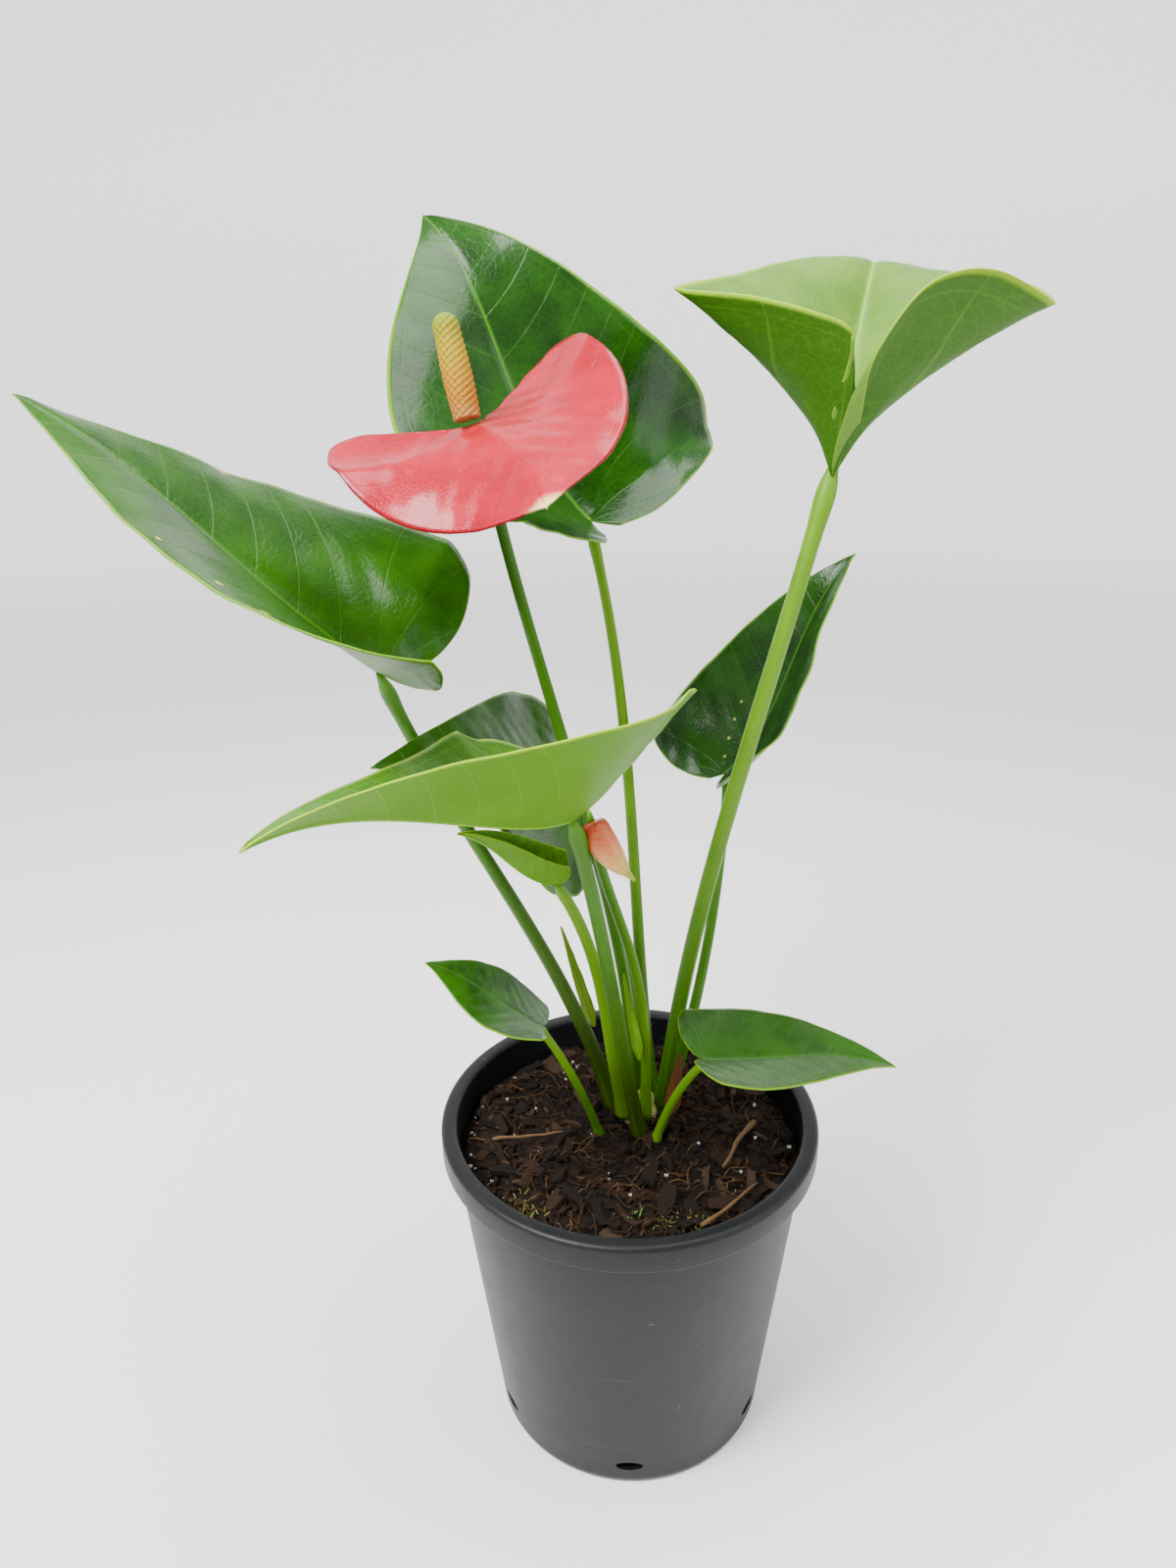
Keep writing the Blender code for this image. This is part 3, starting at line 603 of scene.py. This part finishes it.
def tonedMaterial(name, tones, rough, cells, coat=0.0):    # tones along the piece, over fine cells
    graph = Graph(name)
    height = graph.split(graph.uv("run"), 1)
    place = graph.place()
    blotch = graph.noise(place, 300.0, 4.0)
    grain = graph.cells(place, cells)
    body = graph.ramp(height + (blotch - 0.5) * 0.12, tones)
    shade = graph.mix(grain.step(0.2, 0.7) * 0.25, body, tones[-1][1])
    graph.set(Base_Color=shade, Roughness=rough + (blotch - 0.5) * 0.15, Coat_Weight=coat)
    graph.set(Specular_IOR_Level=0.25)
    graph.bump(grain * -1.0 + blotch * 0.3, 0.0002)
    graph.glow(shade, 0.04)
    return graph.material


def makeSpadix():
    foot, head = Vector(spadixShape["foot"]), Vector(spadixShape["head"])
    count = 90
    tall = (head - foot).length
    centres = [foot.lerp(head, step / (count - 1)) for step in range(count)]

    def radius(index, angle):
        t = index / (count - 1)
        rounded = math.sqrt(max(0.0, 1 - (max(0.0, t - 0.86) / 0.142) ** 2))
        body = spadixShape["radius"] * (0.9 + 0.1 * math.sin(math.pi * min(1, t * 1.3))) * rounded
        turns = t * tall / (spadixShape["radius"] * 2 * math.pi)
        first = math.cos(13 * angle + turns * 2 * math.pi * 9)
        second = math.cos(8 * angle - turns * 2 * math.pi * 15)
        return body + spadixShape["bump"] * (first + second - 0.6) * 0.5 * min(1, rounded * 1.3)

    item = tube("spadix_look", centres, radius, [tonedMaterial("spadix", spadixTones, 0.55, 1500.0)], 72)
    declare(item, "spadix_yellow", "spadix")
    foot, tip = Vector(budShape["foot"]), Vector(budShape["tip"])
    count = 60
    bow = Vector((-1.2, 0.4, -0.6))
    centres = []
    for step in range(count):
        t = step / (count - 1)
        centres.append(foot.lerp(tip, t) + bow * 4 * t * (1 - t))

    def budRadius(index, angle):
        t = index / (count - 1)
        body = budShape["radius"] * (0.34 + 0.66 * math.sin(math.pi * min(1, t + 0.16) ** 0.9) ** 0.8)
        body *= 1 - max(0, t - 0.8) * 3.6 if t > 0.8 else 1
        lap = (angle / (2 * math.pi) + t * 0.35) % 1.0      # the rolled edge of the closed spathe
        return max(0.25, body * (0.94 + 0.1 * lap ** 6))

    bud = tube("bud_look", centres, budRadius, [tonedMaterial("bud", budTones, 0.35, 700.0, 0.2)], 40)
    declare(bud, "spathe_pink", "bud_spathe")
    print("spadix and bud made")


def makeSheaths():
    for name, shape in sheaths.items():
        foot, tip = Vector(shape["foot"]), Vector(shape["tip"])
        side = (tip - foot).cross(Vector((0, 1, 0))).normalized()

        def point(across, row):
            width = shape["wide"] * (1 - row ** 2 * 0.92) * min(1, 0.3 + row * 5)
            width *= 1 + 0.08 * noise.noise(Vector((row * 9, across, 1)))
            bulge = Vector((0, -1, 0)) * shape["wide"] * 0.5 * (1 - across ** 2) * (1 - row)
            crumple = Vector((0, 1, 0)) * 0.25 * noise.noise(Vector((row * 7, across * 2, 5)))
            return foot.lerp(tip, row) + side * width * across + bulge + crumple

        look = dict(low=shape["tone"], high=shaded(shape["tone"], 1.2), under=shape["tone"],
                    vein=shape["edge"], margin=shape["edge"], gloss=0.5, glow=0.2, veins=5, wave=0.0,
                    quilt=0.0, coat=0.0, marks=[])
        item = bladeSheet(name, point, lambda across, row: (row, 0.1 * abs(across)), look,
                          leafMaterials(name, look), 40, 6, 0.35)
        declare(item, "sheath_fresh" if name == "sheath_green" else "sheath_dry", name)
    print("sheaths made")


def potMaterial():
    graph = Graph("pot_plastic_look")
    place = graph.place()
    cloud = graph.noise(place, 14.0, 5.0)
    grain = graph.noise(place, 1400.0, 2.0)
    streaks = graph.noise(graph.place((60, 60, 9)), 6.0, 4.0, 0.7)
    dust = graph.noise(place, 120.0, 6.0, 0.7)
    scratch = graph.noise(graph.place((14, 14, 260)), 3.0, 3.0)
    height = graph.split(place, 2)
    body = graph.mix(cloud.step(0.35, 0.7) * 0.35, potLook["colour"], potLook["pale"])
    body = graph.mix(streaks.step(0.62, 0.8) * 0.15, body, potLook["pale"])
    body = graph.mix(dust.step(0.64, 0.75) * potLook["scuffs"] * 0.5, body, (0.27, 0.26, 0.25))
    body = graph.mix(height.step(0.003, 0.0, 0.0, 0.5), body, (0.3, 0.29, 0.28))
    body = graph.mix(scratch.step(0.68, 0.72) * 0.05, body, (0.3, 0.3, 0.31))
    graph.set(Base_Color=body, Roughness=potLook["roughness"] + (cloud - 0.5) * 0.16 + (dust - 0.5) * 0.14)
    graph.set(Specular_IOR_Level=0.24)
    graph.bump(grain * 0.35 + cloud * 0.8 + scratch * 0.1, 0.00012)
    return graph.material


def turned(name, profile, materials, segments):
    mesh = bpy.data.meshes.new(name)
    points = [(radius * mm, 0.0, height * mm) for radius, height in profile]
    mesh.from_pydata(points, [(index, index + 1) for index in range(len(points) - 1)], [])
    item = makeObject(name, mesh, materials)
    screw = item.modifiers.new("turn", "SCREW")
    screw.steps = segments
    screw.render_steps = segments
    screw.use_merge_vertices = True
    screw.merge_threshold = 0.00001
    return item


def corner(centre, radius, start, end, steps=6):           # a rounded corner of a turned profile
    angles = [math.radians(start + (end - start) * step / steps) for step in range(steps + 1)]
    return [(centre[0] + radius * math.cos(angle), centre[1] + radius * math.sin(angle)) for angle in angles]


def makePot():
    low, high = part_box("pot")
    tall, rim = high[2] / mm, high[0] / mm
    skirt = tall - potShape["lip"]
    inner = potShape["neckRadius"] - potShape["wall"]
    slope = (potShape["neckRadius"] - potShape["baseRadius"]) / skirt
    foot = potShape["baseRadius"]
    floorEdge = foot - potShape["wall"] - 1
    profile = [(0, potShape["floor"]), (floorEdge - 4, potShape["floor"])]
    profile += corner((floorEdge - 1, potShape["floor"] + 2), 2, -90, 0)
    profile += [(inner, skirt), (inner, tall - 3)]
    profile += corner((inner + 1.8, tall - 1.8), 1.8, 180, 90)
    profile += corner((rim - 2.0, tall - 2.0), 2.0, 90, 0)
    profile += corner((rim - 0.9, skirt + 0.9), 0.9, 0, -90)
    profile += [(rim - 1.6, skirt), (rim - 1.8, skirt + 0.4), (rim - 1.8, tall - 2.2),
                (potShape["neckRadius"], tall - 2.2), (potShape["neckRadius"], skirt)]
    profile += [(foot + slope * height, height) for height in (90, 60, 30, 12, 4)]
    profile += corner((foot - 1.6 + slope, 1.8), 1.8, 0, -90)
    profile += [(foot - 5, 0), (foot - 6, 0.5), (0, 0.5)]
    pot = turned("pot_look", profile, [potMaterial()], potShape["segments"])
    cutters = []
    for index in range(potShape["slots"]):
        angle = math.radians(360 * index / potShape["slots"] - 90)
        out = Vector((math.cos(angle), math.sin(angle), 0)) * (foot + slope * potShape["slotAt"])
        work = bmesh.new()
        bmesh.ops.create_cone(work, cap_ends=True, segments=40, radius1=potShape["slotTall"] / 2 * mm,
                              radius2=potShape["slotTall"] / 2 * mm, depth=12 * mm)
        stretch = Matrix.Diagonal((potShape["slotWide"] / potShape["slotTall"], 1, 1, 1))
        spin = Matrix.Rotation(angle + math.pi / 2, 4, "Z") @ Matrix.Rotation(math.pi / 2, 4, "X")
        shift = Matrix.Translation((out + Vector((0, 0, potShape["slotAt"]))) * mm)
        work.transform(shift @ spin @ stretch)
        mesh = bpy.data.meshes.new("slot_cutter")
        work.to_mesh(mesh)
        work.free()
        cutter = bpy.data.objects.new("slot_cutter", mesh)
        bpy.context.scene.collection.objects.link(cutter)
        cutters.append(cutter)
        cut = pot.modifiers.new("slot", "BOOLEAN")
        cut.operation = "DIFFERENCE"
        cut.object = cutter
    bpy.context.view_layer.update()
    solid = bpy.data.meshes.new_from_object(pot.evaluated_get(bpy.context.evaluated_depsgraph_get()))
    pot.modifiers.clear()
    pot.data = solid
    for cutter in cutters:
        bpy.data.objects.remove(cutter)
    gate = Vector((0, -rim, tall - potShape["lip"] / 2)) * mm
    for vertex in solid.vertices:                          # the moulding gate's shallow dimple
        near = (vertex.co - gate).length / (potShape["dimple"] * mm)
        if near < 1:
            vertex.co.y += 0.5 * mm * (1 - near * near)
    solid.shade_smooth()
    solid.set_sharp_from_angle(angle=math.radians(38))
    declare(pot, "pot_plastic", "pot")
    print("pot made")


def soilMaterial(name, low, high, fine, toned):     # toned: each piece has its own colour
    graph = Graph(name)
    place = graph.place()
    tone = graph.add("ShaderNodeAttribute", {"attribute_name": "tone"}, (), "Color")
    cloud = graph.noise(place, 90.0, 6.0, 0.7)
    grain = graph.noise(place, fine, 5.0, 0.7)
    fibre = graph.noise(graph.place((1, 1, 6)), 420.0, 4.0, 0.6)
    body = graph.mix(cloud.step(0.35, 0.68), low, high)
    body = graph.mix(grain.step(0.55, 0.75) * 0.5, body, shaded(high, 1.5))
    if toned:
        body = graph.mix(0.75, body, tone)
        body = graph.mix(fibre.step(0.5, 0.75) * 0.35, body, shaded(low, 0.3))
    graph.set(Base_Color=body, Roughness=0.86 + (grain - 0.5) * 0.25, Specular_IOR_Level=0.2)
    graph.bump(cloud * 0.5 + grain + fibre * 0.4, 0.0006)
    return graph.material


def surfaceHeight(x, y, top):      # the mix heaps up a little, and sinks towards the wall
    spread = math.hypot(x, y)
    rough = 2.4 * noise.noise(Vector((x * 0.09, y * 0.09, 2)))
    rough += 1.9 * noise.noise(Vector((x * 0.26, y * 0.26, 4)))
    return top - 1.6 + rough - mixLook["edgeDrop"] * max(0, (spread - 52) / 12) ** 2


def makeMix():
    low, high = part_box("potting_mix")
    top, edge = high[2] / mm, high[0] / mm
    rings, sides = 60, 150
    work = bmesh.new()
    centre = work.verts.new((0, 0, surfaceHeight(0, 0, top) * mm))
    bands = []
    for ring in range(1, rings + 1):
        band = []
        for step in range(sides):
            angle = 2 * math.pi * step / sides
            x, y = edge * ring / rings * math.cos(angle), edge * ring / rings * math.sin(angle)
            fine = 0.7 * noise.noise(Vector((x * 0.9, y * 0.9, 8)))
            band.append(work.verts.new((x * mm, y * mm, (surfaceHeight(x, y, top) + fine) * mm)))
        bands.append(band)
    slope = (potShape["neckRadius"] - potShape["baseRadius"]) / (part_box("pot")[1][2] / mm - potShape["lip"])
    for height in (80, 40, low[2] / mm + 0.1):
        reach = potShape["baseRadius"] + slope * height - potShape["wall"] - 2 * mixLook["clearance"]
        reach -= 3 if height < 10 else 0
        bands.append([work.verts.new((reach * math.cos(2 * math.pi * step / sides) * mm,
                                      reach * math.sin(2 * math.pi * step / sides) * mm, height * mm))
                      for step in range(sides)])
    for step in range(sides):
        work.faces.new((centre, bands[0][step], bands[0][(step + 1) % sides]))
        for inner, outer in zip(bands, bands[1:]):
            work.faces.new((inner[step], outer[step], outer[(step + 1) % sides], inner[(step + 1) % sides]))
    work.faces.new(list(reversed(bands[-1])))
    mesh = bpy.data.meshes.new("mix_look")
    work.to_mesh(mesh)
    work.free()
    soil = soilMaterial("mix_soil", mixLook["dark"], mixLook["light"], 900.0, False)
    mix = makeObject("mix_look", mesh, [soil])
    declare(mix, "bark_mix", "potting_mix")
    print("mix made")
    return top, edge


def looseMesh(name, pieces, material):     # pieces: (vertices, faces, tone), joined in one mesh
    points, faces, tones = [], [], []
    for vertices, sides, tone in pieces:
        start = len(points)
        points += [tuple(vertex * mm) for vertex in vertices]
        faces += [tuple(start + index for index in face) for face in sides]
        tones += [tone] * len(vertices)
    mesh = bpy.data.meshes.new(name)
    mesh.from_pydata(points, [], faces)
    layer = mesh.color_attributes.new("tone", "FLOAT_COLOR", "POINT")
    for index, tone in enumerate(tones):
        layer.data[index].color = (*tone, 1.0)
    return makeObject(name, mesh, [material])


def flakeSolid(dice, length, width, thick, matrix):        # a split, slightly cupped piece of bark
    work = bmesh.new()
    bmesh.ops.create_cube(work, size=1.0)
    bmesh.ops.subdivide_edges(work, edges=work.edges, cuts=3, use_grid_fill=True)
    seed = dice.random() * 100
    bend = dice.uniform(-1.6, 1.6)
    for vertex in work.verts:
        x, y, z = vertex.co
        taper = 1 - 0.5 * abs(x) ** 1.5 * dice.uniform(0.5, 1.4)
        ragged = 0.35 * noise.noise(Vector((x * 3, y * 3, seed)))
        vertex.co = Vector((x * length * (1 + 0.4 * ragged), y * width * taper * (1 + ragged),
                            z * thick * (1 + ragged) + bend * thick * (4 * x * x - 0.5)
                            + 0.25 * thick * noise.noise(Vector((x * 5, y * 6, seed)))))
    vertices = [matrix @ vertex.co for vertex in work.verts]
    faces = [[vertex.index for vertex in face.verts] for face in work.faces]
    work.free()
    return vertices, faces


def strandSolid(points, radius, sides=6):                  # a thin root, twig or coir fibre
    vertices, faces = [], []
    for index, centre in enumerate(points):
        ahead = points[min(index + 1, len(points) - 1)] - points[max(index - 1, 0)]
        side = ahead.cross(Vector((0.3, 0.2, 1))).normalized()
        up = ahead.cross(side).normalized()
        size = radius * (1 - 0.6 * index / len(points)) * (1 + 0.15 * math.sin(index * 2.1))
        for step in range(sides):
            angle = 2 * math.pi * step / sides
            vertices.append(centre + side * size * math.cos(angle) + up * size * math.sin(angle))
            if index:
                a, b = (index - 1) * sides + step, (index - 1) * sides + (step + 1) % sides
                faces.append((a, b, b + sides, a + sides))
    faces.append(tuple(reversed(range(sides))))
    faces.append(tuple(range(len(vertices) - sides, len(vertices))))
    return vertices, faces


def makeLitter(top, edge):
    dice = random.Random(mixLook["seed"])
    limit = edge - 3

    def spot(reach=limit):
        angle, away = dice.uniform(0, 2 * math.pi), reach * math.sqrt(dice.random())
        return away * math.cos(angle), away * math.sin(angle)

    flakes = []
    for index in range(mixLook["chips"] + mixLook["crumbs"]):
        x, y = spot()
        big = index < mixLook["chips"]
        length = dice.uniform(4, 14) if big else dice.uniform(0.9, 4)
        width, thick = length * dice.uniform(0.15, 0.5), length * dice.uniform(0.06, 0.2)
        room = limit - math.hypot(x, y)
        length = min(length, 3 + room)
        height = surfaceHeight(x, y, top) + dice.uniform(-0.5, 1.6)
        tilt = Matrix.Rotation(dice.uniform(-0.45, 0.45), 4, "X")
        tilt = tilt @ Matrix.Rotation(dice.uniform(-0.4, 0.4), 4, "Y")
        place = Matrix.Translation((x, y, height)) @ Matrix.Rotation(dice.uniform(0, 6.3), 4, "Z") @ tilt
        vertices, faces = flakeSolid(dice, length, width, thick, place)
        flakes.append((vertices, faces, dice.choice(barkTones)))
    bark = soilMaterial("bark_look", (0.006, 0.003, 0.0015), (0.028, 0.014, 0.007), 1300.0, True)
    chips = looseMesh("bark_look", flakes, bark)
    chips.data.set_sharp_from_angle(angle=math.radians(50))
    declare(chips, "bark", *[f"bark_chip_{index + 1}" for index in range(10)])

    strands = []
    for index in range(mixLook["fibres"]):
        x, y = spot(limit - 4)
        heading, curl = dice.uniform(0, 6.3), dice.uniform(-0.35, 0.35)
        reach = dice.uniform(5, 20)
        points = []
        hop = dice.uniform(0.3, 2.2)
        for step in range(9):
            t = step / 8
            height = surfaceHeight(x, y, top) + 0.6 + hop * math.sin(math.pi * t)
            points.append(Vector((x, y, height)))
            heading += curl
            nextX, nextY = x + reach / 8 * math.cos(heading), y + reach / 8 * math.sin(heading)
            if math.hypot(nextX, nextY) > limit:
                heading += 1.6
                nextX, nextY = x + reach / 8 * math.cos(heading), y + reach / 8 * math.sin(heading)
            x, y = nextX, nextY
        strands.append((*strandSolid(points, dice.uniform(0.1, 0.42)), dice.choice(fibreTones)))
    for start, end, size in twigs:
        points = [Vector((*start, top + 1.6)).lerp(Vector((*end, top + 2.4)), step / 8) for step in range(9)]
        for point in points:
            point.x += 0.8 * math.sin(point.y * 0.25)
            point.z += 0.8 * noise.noise(point * 0.2)
        strands.append((*strandSolid(points, size, 9), (0.17, 0.095, 0.045)))
    fibre = soilMaterial("fibre_look", (0.02, 0.01, 0.004), (0.08, 0.04, 0.016), 1500.0, True)
    declare(looseMesh("fibre_look", strands, fibre), "twig", "twig_1", "twig_2", "twig_3")

    moss = []
    for x, y, count, size in mossTufts:
        for blade in range(count):
            root = Vector((x + dice.gauss(0, 2.6), y + dice.gauss(0, 1.8), 0))
            root.z = surfaceHeight(root.x, root.y, top) + 0.4
            lean = Vector((dice.gauss(0, 0.5), dice.gauss(0, 0.5), 1)) * dice.uniform(0.5, 1.0) * size
            points = [root + lean * (step / 4) + Vector((0, 0, -0.5 * (step / 4) ** 2)) for step in range(5)]
            tone = dice.choice(mossTones)
            if (x, y) == sproutAt:
                tone = sproutTone
            moss.append((*strandSolid(points, 0.3, 5), tone))
    for index in range(60):                                # perlite, most of it along the wall
        angle = dice.gauss(3.4, 0.25) if index < 16 else dice.uniform(0, 6.3)
        away = limit + dice.uniform(-1.2, 0.6) if index < 16 else limit * math.sqrt(dice.random())
        x, y = away * math.cos(angle), away * math.sin(angle)
        size = dice.uniform(0.5, 1.5)
        place = Matrix.Translation((x, y, surfaceHeight(x, y, top) + dice.uniform(0.2, 2.0)))
        moss.append((*flakeSolid(dice, size, size * 0.8, size * 0.6, place), (0.62, 0.62, 0.6)))
    growth = soilMaterial("growth_look", (0.09, 0.1, 0.03), (0.2, 0.2, 0.08), 1400.0, True)
    declare(looseMesh("growth_look", moss, growth), "bark_mix")
    print("litter made")


def makeCrown():
    low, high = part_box("rootstock")
    centre = (Vector(low) + Vector(high)) / 2 / mm
    radius = (high[0] - low[0]) / 2 / mm
    count = 40
    base = Vector((centre.x, centre.y, high[2] / mm - 9))
    centres = [base + Vector((0, 0, 16 * step / (count - 1))) for step in range(count)]

    def outline(index, angle):
        t = index / (count - 1)
        lumps = 0.9 * noise.noise(Vector((math.cos(angle) * 1.6, math.sin(angle) * 1.6, t * 4)))
        lobes = 0.9 * math.cos(3 * angle + 1.2) + 0.6 * math.cos(5 * angle - t * 3)
        rings = 0.35 * math.cos(t * 26)
        return max(0.4, (radius + lumps + lobes + rings) * (1 - 0.5 * t) * math.sqrt(max(0, 1.02 - t ** 5)))

    crown = tube("crown_look", centres, outline, [tonedMaterial("crown", crownTones, 0.6, 500.0)], 60)
    declare(crown, "crown", "rootstock")
    print("crown made")


def stageMaterial(name, tone):
    graph = Graph(name)
    place = graph.place()
    cloud = graph.noise(place, 2.5, 3.0)
    grain = graph.noise(place, 500.0, 3.0)
    body = graph.mix(cloud * 0.6, tone, shaded(tone, 0.95))
    graph.set(Base_Color=body, Roughness=0.75 + (grain - 0.5) * 0.1)
    graph.bump(grain, 0.0001)
    away = graph.add("ShaderNodeVectorMath", {"operation": "LENGTH"}, (place,), 1)
    graph.set(Emission_Color=graph.mix(away.step(0.8, 3.0), (0.0, 0.0, 0.0), (1.0, 1.0, 1.0)))
    graph.set(Emission_Strength=studio["shine"])     # the far wall stays as pale as the floor
    return graph.material


def makeStage():
    wallAt, sweep = studio["wallAt"], studio["sweep"]
    profile = [(-4000, 0), (-300, 0)]
    profile += corner((wallAt - sweep, sweep), sweep, -90, 0, 16)
    profile += [(wallAt, 1600), (wallAt, 3000)]
    work = bmesh.new()
    rows = [[work.verts.new((x * mm, y * mm, z * mm)) for y, z in profile] for x in (-4000, 4000)]
    for index in range(len(profile) - 1):
        work.faces.new((rows[0][index], rows[1][index], rows[1][index + 1], rows[0][index + 1]))
    mesh = bpy.data.meshes.new("backdrop")
    work.to_mesh(mesh)
    work.free()
    makeObject("backdrop", mesh, [stageMaterial("backdrop", studio["floor"])])
    for name, place, target, size, watts, colour in studio["lights"]:
        light = bpy.data.lights.new(name, "AREA")
        light.shape = "RECTANGLE"
        light.size, light.size_y = size[0] * mm, size[1] * mm
        light.energy = watts
        light.color = colour
        lamp = bpy.data.objects.new(name, light)
        bpy.context.scene.collection.objects.link(lamp)
        lamp.location = Vector(place) * mm
        lamp.rotation_euler = (Vector(target) - Vector(place)).to_track_quat("-Z", "Y").to_euler()
    world = bpy.data.worlds.new("studio")
    world.use_nodes = True
    world.node_tree.nodes["Background"].inputs["Color"].default_value = (1, 1, 1, 1)
    world.node_tree.nodes["Background"].inputs["Strength"].default_value = studio["ambient"]
    bpy.context.scene.world = world
    print("stage made")


def makeCamera():
    pitch, yaw, roll = (math.radians(view[name]) for name in ("pitch", "yaw", "roll"))
    level = Vector((-math.sin(yaw), math.cos(yaw), 0))
    right = Vector((math.cos(yaw), math.sin(yaw), 0))
    forward = level * math.cos(pitch) - Vector((0, 0, math.sin(pitch)))
    up = level * math.sin(pitch) + Vector((0, 0, math.cos(pitch)))
    tilted = right * math.cos(roll) + up * math.sin(roll)
    upright = up * math.cos(roll) - right * math.sin(roll)
    lens = bpy.data.cameras.new("camera")
    lens.lens = view["lens"]
    lens.sensor_width = 36
    lens.clip_start = 0.01
    camera = bpy.data.objects.new("camera", lens)
    camera.matrix_world = Matrix.Translation(Vector(view["spot"]) * mm) @ Matrix(
        (tilted, upright, -forward)).transposed().to_4x4()
    bpy.context.scene.collection.objects.link(camera)
    bpy.context.scene.camera = camera
    print("camera made")


makeCamera()
makeStage()
makePot()
mixTop, mixEdge = makeMix()
makeLitter(mixTop, mixEdge)
makeCrown()
makeStalks()
makeBlades()
makeSpadix()
makeSheaths()
